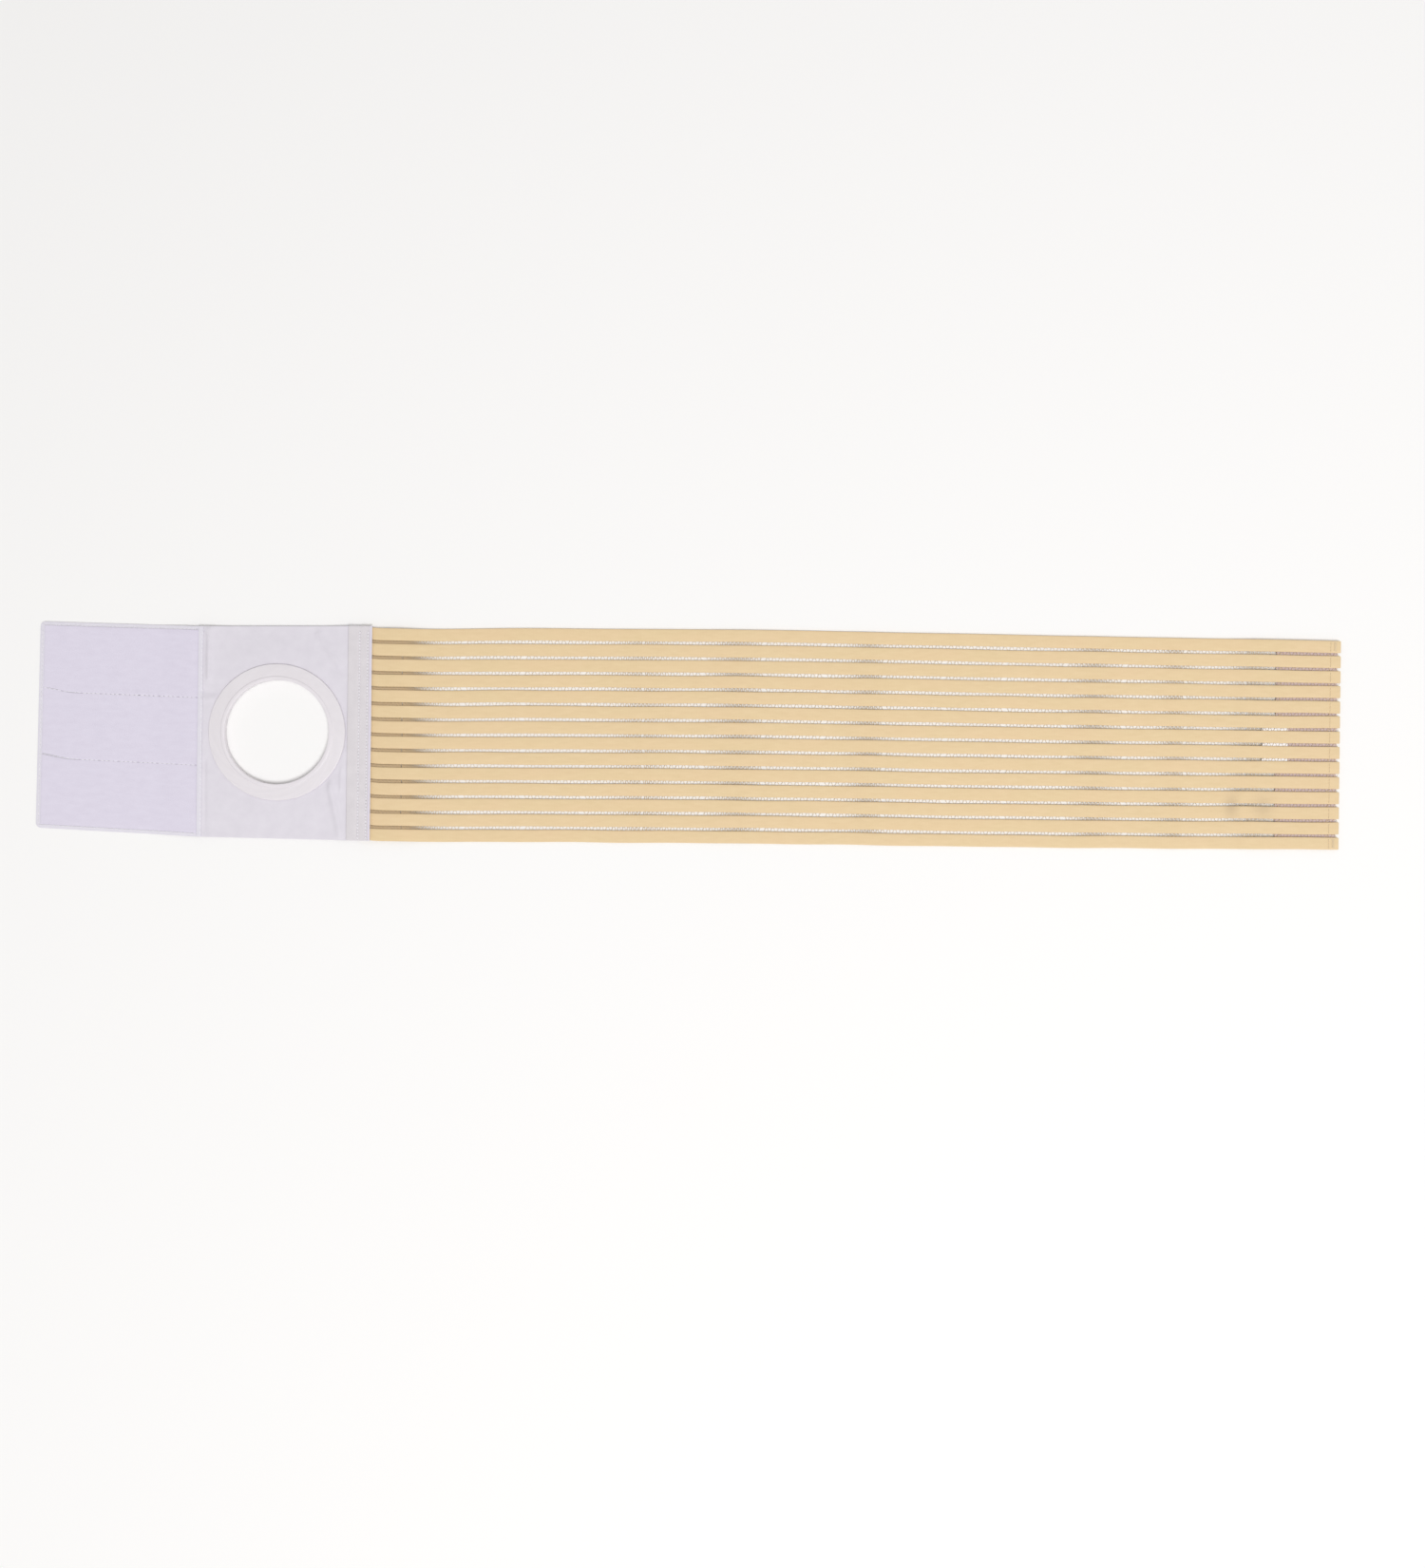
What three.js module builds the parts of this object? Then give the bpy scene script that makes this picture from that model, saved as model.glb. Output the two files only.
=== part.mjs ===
// Ostomy support belt, laid flat with its outer face up.
// Millimetres, +Z up. +X runs along the belt from the closure tab to the hook end.
// The origin is the middle of the belt, on the surface that the belt lies on.
import * as THREE from "three";

// Along the belt (X)
const HALF_LENGTH = 500;
const TAB_FOLD_X = -377; // the tab folds here, where it is sewn to the ring panel
const FACING_START_X = -263.5;
const PANEL_END_X = -253.5; // under the facing, where the panel meets the elastic
const WRAP_START_X = -244.7; // the elastic leaves the facing and starts to bend
const HOOK_END_X = 450.7; // the last stretch, which carries the hook patch
const SECTION_COUNT = 15;
const SECTION_LENGTH = (HOOK_END_X - WRAP_START_X) / SECTION_COUNT;
const JOINT_GAP = 0.6; // between neighbours that turn against each other

// Across the belt (Y)
const TAB_EDGE_WIDTH = 159; // at the free edge of the tab
const FACING_WIDTH = 165;
const RIB_COUNT = 14;
const RIB_WIDTH = 9.4;
const RIB_PITCH = 11.93; // at its widest, at BULGE_X
const PITCH_DROP = 0.3; // how much less the pitch is BULGE_REACH away from there
const BULGE_X = -19;
const BULGE_REACH = 511;
const TIE_LENGTH = 0.8; // the cross threads that hold the ribs at a section's ends

// Heights (Z)
const CLOTH_GAP = 0.3; // between cloths that touch
const CLOTH = 0.8;
const UNDER_Z = 1.8; // underside of the panel, the tab and the elastic
const ELASTIC_THICK = 1.6;
const PANEL_TOP_Z = UNDER_Z + 2 * CLOTH + CLOTH_GAP;
const LOOP_BASE_Z = UNDER_Z + CLOTH + CLOTH_GAP;
const LOOP_THICK = 1.2;
const HOOK_THICK = 1.2;
const LABEL_THICK = 0.2;
const THREAD_THICK = 0.3;

// Sewing
const STITCH_WIDTH = 1.2; // a row of stitches, seen from above
const STITCH_INSET = 1; // from a row's ends to the cloth's long edges
const FOLD_STITCH_INSET = 1.8; // from the fold to the middle of the row beside it
const FACING_STITCHES = [
  ["facing_stitch_inner", -254.2],
  ["facing_stitch_outer", -248],
];
const SEWN_MARGIN = 0.8; // how far the elastic stays inside the facing's long edges

// The closure tab
const TAB_CORNER = 3;
const TAB_BORDER = 4; // cloth that shows beyond the loop strips along the long edges
const TAB_END_BORDER = 3.5; // and at the free edge
const TAB_FOLD_BORDER = 1.2; // and at the fold
const TAB_GROOVE = 1.2; // between two loop strips
const TAB_SEAM_WIDTH = 0.6;
const RIM_INSET = 2.2; // from the tab's edge to its border stitch
const RIM_WIDTH = 0.8;

// The hook end
const PATCH_END_MARGIN = 2;
const PATCH_SIDE_MARGIN = 0.5;
const LABEL_WIDTH = 25.5;
const LABEL_LENGTH = 9;
const LABEL_MARGIN = 0.5;
const END_STITCH_INNER = 3; // from the start of the hook end
const END_STITCH_OUTER = 8; // from the end of the belt
const TACK_MARGIN = 3.5;
const TACK_LENGTH = 2;
const TACK_SIDE_MARGIN = 1.5;

// The ring around the stoma opening
const RING_X = -317;
const OPENING_RADIUS = 40;
const COLLAR_WALL = 1.6;
const COLLAR_FOOT_Z = 0.6; // the collar's lower rim, above the surface
const FLANGE_RADIUS = 52.6;
const FLANGE_THICK = 1.4;
const BEAD_WIDTH = 2.6;
const BEAD_RISE = 0.6;
const BACK_FLANGE_RADIUS = 50;
const BACK_FLANGE_THICK = 1.5;
const RING_SEGMENTS = 48;
const RING_BEVEL = 0.4;
const FIT = 0.3; // between the ring's two halves, and between ring and cloth
const FACET_SLACK = 0.1; // a round is a polygon here, and its flats lie closer together

const FINISH = {
  loop: { color: 0xddd7e5, roughness: 0.95 },
  panel: { color: 0xded9e0, roughness: 0.8 },
  ring: { color: 0xe4dfe3, roughness: 0.35 },
  elastic: { color: 0xe8d0a6, roughness: 0.85 },
  hook: { color: 0xd9cbd6, roughness: 0.7 },
  thread: { color: 0xe9e5ea, roughness: 0.6 },
  label: { color: 0xf4f3f5, roughness: 0.6 },
};

const belt = new THREE.Group();

function add(name, finish, geometry) {
  const material = new THREE.MeshStandardMaterial({ ...FINISH[finish], metalness: 0 });
  const mesh = new THREE.Mesh(geometry, material);
  mesh.name = name;
  belt.add(mesh);
}

// Half the width of the tab and the panel, which widens evenly up to the elastic.
function clothHalf(x) {
  const share = (x + HALF_LENGTH) / (PANEL_END_X + HALF_LENGTH);
  return (TAB_EDGE_WIDTH + (FACING_WIDTH - TAB_EDGE_WIDTH) * share) / 2;
}

function ribPitch(x) {
  return RIB_PITCH - PITCH_DROP * ((x - BULGE_X) / BULGE_REACH) ** 2;
}

// The middle of a rib; rib 0 is the lowest.
function ribY(rib, x) {
  return (rib - (RIB_COUNT - 1) / 2) * ribPitch(x);
}

// A four-sided outline between x0 and x1, with its lower and upper edge at each end.
function quad(x0, x1, lower0, upper0, lower1, upper1) {
  return [
    [x0, lower0],
    [x1, lower1],
    [x1, upper1],
    [x0, upper0],
  ].map(([x, y]) => new THREE.Vector2(x, y));
}

function centred(x0, x1, half0, half1 = half0) {
  return quad(x0, x1, -half0, half0, -half1, half1);
}

function plate(shape, bottom, thick) {
  const depth = { depth: thick, bevelEnabled: false, curveSegments: RING_SEGMENTS / 2 };
  return new THREE.ExtrudeGeometry(shape, depth).translate(0, 0, bottom);
}

function sheet(points, bottom, thick) {
  return plate(new THREE.Shape(points), bottom, thick);
}

function stitchRow(name, x, half, bottom) {
  const row = centred(x - STITCH_WIDTH / 2, x + STITCH_WIDTH / 2, half - STITCH_INSET);
  add(name, "thread", sheet(row, bottom, THREAD_THICK));
}

// A closed profile of [radius, height] pairs, turned round the opening's axis.
function turned(profile) {
  const points = [...profile, profile[0]].map(([r, z]) => new THREE.Vector2(r, z));
  return new THREE.LatheGeometry(points, RING_SEGMENTS).rotateX(Math.PI / 2).translate(RING_X, 0, 0);
}

function ringPanel() {
  const start = TAB_FOLD_X + JOINT_GAP / 2;
  const end = PANEL_END_X;
  const hole = OPENING_RADIUS + COLLAR_WALL + 2 * FIT;
  const layers = [
    ["panel_back_fabric", UNDER_Z],
    ["panel_front_fabric", UNDER_Z + CLOTH + CLOTH_GAP],
  ];
  for (const [name, bottom] of layers) {
    const shape = new THREE.Shape(centred(start, end, clothHalf(start), clothHalf(end)));
    const opening = new THREE.Path();
    opening.absarc(RING_X, 0, hole, 0, 2 * Math.PI, true);
    shape.holes.push(opening);
    add(name, "panel", plate(shape, bottom, CLOTH));
  }
  stitchRow("fold_stitch", start + FOLD_STITCH_INSET, clothHalf(start), PANEL_TOP_Z);
}

function stomaRing() {
  const flangeZ = PANEL_TOP_Z + FIT;
  const top = flangeZ + FLANGE_THICK;
  const beadTop = top + BEAD_RISE;
  const collar = OPENING_RADIUS + COLLAR_WALL;
  const bead = OPENING_RADIUS + BEAD_WIDTH;
  const front = [
    [OPENING_RADIUS, COLLAR_FOOT_Z],
    [collar, COLLAR_FOOT_Z],
    [collar, flangeZ],
    [FLANGE_RADIUS - RING_BEVEL, flangeZ],
    [FLANGE_RADIUS, flangeZ + RING_BEVEL],
    [FLANGE_RADIUS, top - RING_BEVEL],
    [FLANGE_RADIUS - RING_BEVEL, top],
    [bead, top],
    [bead, beadTop - RING_BEVEL],
    [bead - RING_BEVEL, beadTop],
    [OPENING_RADIUS + RING_BEVEL, beadTop],
    [OPENING_RADIUS, beadTop - RING_BEVEL],
  ];
  const inner = collar + FIT + FACET_SLACK;
  const back = [
    [inner, 0],
    [BACK_FLANGE_RADIUS - RING_BEVEL, 0],
    [BACK_FLANGE_RADIUS, RING_BEVEL],
    [BACK_FLANGE_RADIUS, BACK_FLANGE_THICK - RING_BEVEL],
    [BACK_FLANGE_RADIUS - RING_BEVEL, BACK_FLANGE_THICK],
    [inner, BACK_FLANGE_THICK],
  ];
  add("stoma_ring_front", "ring", turned(front));
  add("stoma_ring_back", "ring", turned(back));
}

// The folded strip that joins the panel to the elastic, with its two rows of stitches.
function facing() {
  const start = FACING_START_X + FIT;
  const end = WRAP_START_X - JOINT_GAP / 2;
  const half = FACING_WIDTH / 2;
  const frontZ = PANEL_TOP_Z + CLOTH_GAP;
  const backZ = UNDER_Z - CLOTH_GAP - CLOTH;
  const inset = centred(PANEL_END_X + FIT, end, half - SEWN_MARGIN);
  add("facing_front", "panel", sheet(centred(start, end, half), frontZ, CLOTH));
  add("facing_back", "panel", sheet(centred(start, end, half), backZ, CLOTH));
  add("elastic_inset", "elastic", sheet(inset, UNDER_Z, ELASTIC_THICK));
  for (const [name, x] of FACING_STITCHES) stitchRow(name, x, half, frontZ + CLOTH);
}

// The tab that the hook patch closes on: a backing cloth with three strips of loop.
function closureTab() {
  const end = TAB_FOLD_X - JOINT_GAP / 2;
  const left = -HALF_LENGTH;
  const half0 = clothHalf(left);
  const half1 = clothHalf(end);
  const outline = new THREE.Shape();
  outline.moveTo(left + TAB_CORNER, -half0);
  outline.lineTo(end, -half1).lineTo(end, half1).lineTo(left + TAB_CORNER, half0);
  outline.absarc(left + TAB_CORNER, half0 - TAB_CORNER, TAB_CORNER, Math.PI / 2, Math.PI, false);
  outline.absarc(left + TAB_CORNER, TAB_CORNER - half0, TAB_CORNER, Math.PI, 1.5 * Math.PI, false);
  add("tab_backing", "loop", plate(outline, UNDER_Z, CLOTH));

  const strip0 = left + TAB_END_BORDER;
  const strip1 = end - TAB_FOLD_BORDER;
  const inner0 = half0 - TAB_BORDER;
  const inner1 = half1 - TAB_BORDER;
  const names = ["loop_strip_lower", "loop_strip_middle", "loop_strip_upper"];
  names.forEach((name, i) => {
    const from = (inner) => -inner + (2 * inner * i) / 3 + (i > 0 ? TAB_GROOVE / 2 : 0);
    const to = (inner) => -inner + (2 * inner * (i + 1)) / 3 - (i < 2 ? TAB_GROOVE / 2 : 0);
    const points = quad(strip0, strip1, from(inner0), to(inner0), from(inner1), to(inner1));
    add(name, "loop", sheet(points, LOOP_BASE_Z, LOOP_THICK));
  });

  const stitchZ = UNDER_Z + CLOTH;
  const seam = TAB_SEAM_WIDTH / 2;
  for (const [name, side] of [["tab_stitch_lower", -1], ["tab_stitch_upper", 1]]) {
    const y0 = (side * inner0) / 3;
    const y1 = (side * inner1) / 3;
    const points = quad(strip0, strip1, y0 - seam, y0 + seam, y1 - seam, y1 + seam);
    add(name, "thread", sheet(points, stitchZ, THREAD_THICK));
  }

  // Round the tab's three free sides, from the fold and back to it
  const side = (inset) => [
    [end, half1 - inset],
    [left + inset, half0 - inset],
    [left + inset, inset - half0],
    [end, inset - half1],
  ];
  const rim = [...side(RIM_INSET), ...side(RIM_INSET + RIM_WIDTH).reverse()];
  const rimPoints = rim.map(([x, y]) => new THREE.Vector2(x, y));
  add("tab_border_stitch", "thread", sheet(rimPoints, stitchZ, THREAD_THICK));
}

// Fourteen ribs between x0 and x1, held by a thin cross tie at each end.
function ribbedSection(x0, x1) {
  const edge = (x) => ribY(RIB_COUNT - 1, x) + RIB_WIDTH / 2;
  const shape = new THREE.Shape(centred(x0, x1, edge(x0), edge(x1)));
  const a = x0 + TIE_LENGTH;
  const b = x1 - TIE_LENGTH;
  for (let rib = 0; rib < RIB_COUNT - 1; rib++) {
    const lower = (x) => ribY(rib, x) + RIB_WIDTH / 2;
    const upper = (x) => ribY(rib + 1, x) - RIB_WIDTH / 2;
    shape.holes.push(new THREE.Path(quad(a, b, lower(a), upper(a), lower(b), upper(b)).reverse()));
  }
  return plate(shape, UNDER_Z, ELASTIC_THICK);
}

function elastic() {
  for (let i = 0; i < SECTION_COUNT; i++) {
    const x0 = WRAP_START_X + i * SECTION_LENGTH + JOINT_GAP / 2;
    const name = `elastic_section_${String(i + 1).padStart(2, "0")}`;
    add(name, "elastic", ribbedSection(x0, x0 + SECTION_LENGTH - JOINT_GAP));
  }
}

// The last stretch of elastic, with the hook patch sewn under it.
function hookEnd() {
  const start = HOOK_END_X + JOINT_GAP / 2;
  const half = ribY(RIB_COUNT - 1, HALF_LENGTH) + RIB_WIDTH / 2;
  add("elastic_end", "elastic", ribbedSection(start, HALF_LENGTH));
  const patch = centred(start, HALF_LENGTH - PATCH_END_MARGIN, half - PATCH_SIDE_MARGIN);
  add("hook_patch", "hook", sheet(patch, 0, HOOK_THICK));
  const labelX = start + LABEL_MARGIN;
  const label = centred(labelX, labelX + LABEL_LENGTH, LABEL_WIDTH / 2);
  add("size_label", "label", sheet(label, HOOK_THICK, LABEL_THICK));

  const threadZ = UNDER_Z + ELASTIC_THICK;
  stitchRow("end_stitch_inner", start + END_STITCH_INNER, half, threadZ);
  stitchRow("end_stitch_outer", HALF_LENGTH - END_STITCH_OUTER, half, threadZ);
  for (const [name, rib] of [["bar_tack_lower", 0], ["bar_tack_upper", RIB_COUNT - 1]]) {
    const y = ribY(rib, HALF_LENGTH);
    const reach = RIB_WIDTH / 2 - TACK_SIDE_MARGIN;
    const end = HALF_LENGTH - TACK_MARGIN;
    const points = quad(end - TACK_LENGTH, end, y - reach, y + reach, y - reach, y + reach);
    add(name, "thread", sheet(points, threadZ, THREAD_THICK));
  }
}

ringPanel();
stomaRing();
facing();
closureTab();
elastic();
hookEnd();

export default belt;
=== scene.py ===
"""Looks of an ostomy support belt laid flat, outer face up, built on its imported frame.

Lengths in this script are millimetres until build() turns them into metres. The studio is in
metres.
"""

import math
import random

import bpy
import numpy as np
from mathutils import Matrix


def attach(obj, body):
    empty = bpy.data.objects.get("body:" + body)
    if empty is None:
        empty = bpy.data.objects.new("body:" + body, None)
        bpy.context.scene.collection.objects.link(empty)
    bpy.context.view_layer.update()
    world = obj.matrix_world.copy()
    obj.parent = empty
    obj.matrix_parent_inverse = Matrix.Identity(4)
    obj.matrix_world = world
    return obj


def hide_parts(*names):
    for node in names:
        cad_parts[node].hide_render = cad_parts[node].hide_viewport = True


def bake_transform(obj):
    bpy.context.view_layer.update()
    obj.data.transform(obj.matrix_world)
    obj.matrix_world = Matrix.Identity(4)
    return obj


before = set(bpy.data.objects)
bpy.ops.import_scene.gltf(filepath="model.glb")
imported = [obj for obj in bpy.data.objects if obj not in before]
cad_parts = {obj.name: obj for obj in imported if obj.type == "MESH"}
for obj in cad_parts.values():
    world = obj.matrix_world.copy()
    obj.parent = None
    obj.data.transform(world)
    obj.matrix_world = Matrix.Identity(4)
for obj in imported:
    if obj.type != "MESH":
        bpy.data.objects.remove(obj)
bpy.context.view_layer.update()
MM = 0.001
rng = random.Random(7)

# Along the belt
TAB_LEFT = -500.0
FOLD_X = -377.0
PANEL_START = -376.7
PANEL_END = -253.5
FACING_START = -263.2
FACING_END = -245.0
WRAP_X = -244.7
SECTION = 46.36
SECTIONS = 15
END_X = 500.0
PATCH_START = 451.0
PATCH_END = 498.0
TAB_END = FOLD_X - 0.3
CAP_RIM = 0.01  # a row of points this far inside a rib's cut end keeps its rim crisp

# Across the belt
RIBS = 14
RIB_WIDTH = 9.4
RIB_THICK = 1.6
TAB_HALF = 79.5
FACING_HALF = 82.5
PANEL_SIDES = 320  # directions round the hole in which the panel's points lie
PANEL_ROWS = 46
BORDER = 3.0
SEAM_GAP = 0.3
PATCH_HALF = 79.7
LABEL_HALF = 12.75
LABEL_START = 440.5
LABEL_END = 460.2

# Heights
CLOTH = 0.8
BACK_Z = 1.8
FRONT_Z = 2.9
LOOP_BASE = 0.86
LOOP_THICK = 0.5
FACING_Z = 4.0
FACING_BACK_Z = 0.6
FACING_DIP = 0.15
FACING_THICK = 0.6
FACING_EDGE_START = -246.6
FACING_EDGE_END = -244.75
FACING_EDGE_THICK = 0.3
HEM_START = -378.2
HEM_END = -374.6
HEM_THICK = 0.4
TABLE_GAP = 0.3
BAND_ON_PATCH = 1.62
PATCH_Z = 0.6
PATCH_THICK = 0.6
LABEL_Z = 1.28
LABEL_THICK = 0.16

# The ring: radii from the middle of its opening, and heights
RING_X = -317.0
HOLE_RADIUS = 42.2
OPENING_RADIUS = 40.0
COLLAR_RADIUS = 41.6
COLLAR_FOOT_Z = 0.6
LIP_RADIUS = 42.6
LIP_Z = 6.0
FLANGE_RADIUS = 52.6
FLANGE_UNDER_Z = 4.0
FLANGE_TOP_Z = 5.4
BACK_HOLE_RADIUS = 42.0
BACK_RADIUS = 50.0
BACK_TOP_Z = 1.5

TAB_TURN = math.radians(1.8)

# Rows of stitches, by their place along the belt
FACING_ROW_INNER = -254.2
FACING_ROW_OUTER = -248.0
FOLD_ROW = -375.3
END_ROW_INNER = 454.3
END_ROW_OUTER = 492.0
TACK_X = 495.0


def smoothstep(t):
    t = np.clip(t, 0.0, 1.0)
    return t * t * (3 - 2 * t)


def hump(x, middle, reach):
    return np.exp(-(((x - middle) / reach) ** 2))


def always(value):
    """A function of one place or two that has the same value everywhere."""
    return lambda x, y=0: value + 0 * x


# ---------------------------------------------------------------- shape of the belt

def cloth_half(x):
    """Half the width of the tab and the panel, which widens towards the elastic."""
    share = (x - TAB_LEFT) / (PANEL_END - TAB_LEFT)
    return TAB_HALF + (FACING_HALF - TAB_HALF) * share


def turn_tab(x, y):
    """The tab lies skewed a little in its own plane about the fold."""
    angle = TAB_TURN * smoothstep((FOLD_X - x) / 15)
    dx = (x - FOLD_X) * (1 + 0.018 * smoothstep((FOLD_X - x) / 40))
    return FOLD_X + dx + 0.4 * y * np.sin(angle), y - dx * np.sin(angle)


def seam_shift(x):
    """The tab's two seams start higher at its free edge."""
    return 3.4 * (1 - smoothstep((x - TAB_LEFT) / 28))


def crease(x, y, a, b, width, height):
    """A soft ridge, or a dent where height is negative, along the line from a to b."""
    ax, ay = a
    dx, dy = b[0] - ax, b[1] - ay
    t = np.clip(((x - ax) * dx + (y - ay) * dy) / (dx * dx + dy * dy), 0, 1)
    distance = np.hypot(x - ax - t * dx, y - ay - t * dy)
    return height * np.exp(-((distance / width) ** 2))


PANEL_CREASES = [
    ((-277, -36), (-267, -80), 2.6, 1.7),
    ((-267, 16), (-267, -44), 1.8, 1.2),
    ((-286, 76), (-270, 52), 2.4, 1.2),
    ((-370, 78), (-370, 42), 2.2, 1.5),
    ((-375, 31), (-354, 27), 1.8, -0.8),
    ((-374, 25), (-358, 22), 1.7, 0.9),
    ((-372.5, -23), (-372.5, -80), 1.8, -0.6),
]


def panel_drop(x, y):
    """How far the panel sinks towards its long edges, away from the ring that holds it up."""
    off_ring = smoothstep((np.hypot(x - RING_X, y) - 52) / 28)
    off_seams = smoothstep((x - PANEL_START) / 22) * smoothstep((FACING_START - x) / 20)
    return (0.25 + 0.95 * off_seams) * off_ring * smoothstep((np.abs(y) - 48) / 30)


def panel_swell(x, y):
    """Creases and slow waves of the panel, gone where the ring clamps it."""
    free = smoothstep((np.hypot(x - RING_X, y) - 53) / 6)
    waves = 0.12 * np.sin(x / 9.3 + 0.8) * np.sin(y / 14.1 + 0.3)
    total = waves + sum(crease(x, y, *c) for c in PANEL_CREASES)
    return free * total * smoothstep((FACING_START - 0.6 - x) / 6)


def tab_drop(x):
    """The tab comes down from the fold to the surface it lies on."""
    return (BACK_Z - TABLE_GAP) * smoothstep((FOLD_X - 4 - x) / 34)


def tab_swell(x, y):
    return 0.1 * np.sin(x / 17 + 1.1) * np.sin(y / 11.7)


def seam_ripple(x, y):
    """Puckers along the upper seam, where the loop strips stand off their backing."""
    return 0.3 * (1 + np.sin(x / 1.4 + y / 3)) * hump(x, -424, 28) * hump(y, 25, 5)


def rib_pitch(x):
    return 11.93 - 0.3 * ((x + 19) / 511) ** 2


SWAY = [[(rng.uniform(60, 210), rng.uniform(0, 6.28), rng.uniform(0.04, 0.13)) for _ in range(3)]
        for _ in range(RIBS)]


def rib_middle(rib, x):
    bow = hump(x, 60, 150) - 1.0 * hump(x, -215, 60) * smoothstep((x + 252) / 14)
    sway = sum(a * np.sin(x * 6.28 / w + p) for w, p, a in SWAY[rib])
    return (rib - (RIBS - 1) / 2) * rib_pitch(x) + bow + sway * smoothstep((x + 246) / 20)


# Where the band stands off the surface: place, reach, height, side (0 all, -1 lower ribs)
LIFTS = [
    (-38, 26, 0.15, 0),
    (36, 22, 0.8, 0),
    (136, 16, 0.7, 0),
    (310, 18, 0.7, 0),
    (373, 15, 0.7, -1),
    (432, 17, 1.3, 0),
]


def band_under(x, y):
    """Height of the band's underside."""
    across = y / 80
    landed = smoothstep((x + 232) / (52 - 9 * across))
    z = BACK_Z * (1 - landed) + TABLE_GAP * landed + 0.7 * hump(x, -224, 13)
    for place, reach, height, side in LIFTS:
        share = np.clip(0.55 - 0.45 * across, 0.1, 1) if side else 1 - 0.45 * across ** 2
        z = z + height * hump(x, place, reach) * share
    buckle = 1.3 * hump(x, 425, 7) * hump(y, -46, 11)
    z = z + buckle
    on_patch = smoothstep((x - 424) / 14)
    return z + on_patch * (BAND_ON_PATCH - z)


def rib_under(rib, x):
    y = (rib - (RIBS - 1) / 2) * 11.9
    wobble = 0.07 * (1 + np.sin(x / (13 + rib % 5) + 1.7 * rib))
    return band_under(x, y) + wobble * smoothstep((x + 240) / 20) * smoothstep((440 - x) / 10)


# ---------------------------------------------------------------- mesh helpers

class Shape:
    """Points, faces and rest places of one piece, gathered part by part."""

    def __init__(self):
        self.points, self.places, self.shades, self.faces, self.flat = [], [], [], [], []
        self.count = 0

    def add(self, points, faces, places=None, flat=(), shade=0.0):
        base, first = self.count, len(self.faces)
        points = np.asarray(points, float)
        self.points.append(points)
        self.places.append(points if places is None else np.asarray(places, float))
        self.shades.append(np.broadcast_to(shade, len(points)))
        self.faces += [tuple(base + i for i in f) for f in faces]
        self.flat += [first + i for i in flat]
        self.count += len(points)

    def build(self, name, material):
        mesh = bpy.data.meshes.new(name)
        mesh.from_pydata((np.concatenate(self.points) * MM).tolist(), [], self.faces)
        smooth = np.ones(len(mesh.polygons), bool)
        smooth[self.flat] = False
        mesh.polygons.foreach_set("use_smooth", smooth)
        place = mesh.attributes.new("cloth_place", "FLOAT_VECTOR", "POINT")
        place.data.foreach_set("vector", np.concatenate(self.places).astype(np.float32).ravel())
        shade = mesh.attributes.new("cloth_shade", "FLOAT", "POINT")
        shade.data.foreach_set("value", np.concatenate(self.shades).astype(np.float32))
        mesh.materials.append(material)
        mesh.update()
        obj = bpy.data.objects.new(name, mesh)
        bpy.context.scene.collection.objects.link(obj)
        return obj


def ring_faces(rows, sides):
    """Quads between rows of points that each go once round."""
    faces = []
    for r in range(rows - 1):
        for s in range(sides):
            t = (s + 1) % sides
            a, b = r * sides, (r + 1) * sides
            faces.append((a + s, a + t, b + t, b + s))
    return faces


def tube(shape, line, radius, sides=6, shade=0.0):
    """A round thread along a line of points, with closed ends."""
    line = np.asarray(line, float)
    along = np.gradient(line, axis=0)
    along /= np.linalg.norm(along, axis=1)[:, None]
    up = np.array([0.0, 0.0, 1.0]) if abs(along[0][2]) < 0.9 else np.array([1.0, 0.0, 0.0])
    side = np.cross(along, up)
    side /= np.linalg.norm(side, axis=1)[:, None]
    over = np.cross(side, along)
    turn = np.arange(sides) * 2 * math.pi / sides
    points = (line[:, None] + radius * (np.cos(turn)[None, :, None] * side[:, None]
                                        + np.sin(turn)[None, :, None] * over[:, None]))
    faces = ring_faces(len(line), sides)
    last = (len(line) - 1) * sides
    caps = [tuple(range(sides))[::-1], tuple(range(last, last + sides))]
    reach = np.concatenate([[0], np.cumsum(np.linalg.norm(np.diff(line, axis=0), axis=1))])
    places = np.stack(np.broadcast_arrays(reach[:, None], turn[None, :] * radius, 0.0), -1)
    shape.add(points.reshape(-1, 3), faces + caps, places.reshape(-1, 3), shade=shade)


def spread(length, step, edge):
    """Places from 0 to length, crowded within edge of both ends, where a slab is rounded."""
    near = [0.0, 0.12 * edge, 0.4 * edge, edge]
    inner = np.linspace(edge, length - edge, max(2, int(round((length - 2 * edge) / step)) + 1))
    return np.concatenate([near[:-1], inner, [length - n for n in near[:-1][::-1]]])


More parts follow.
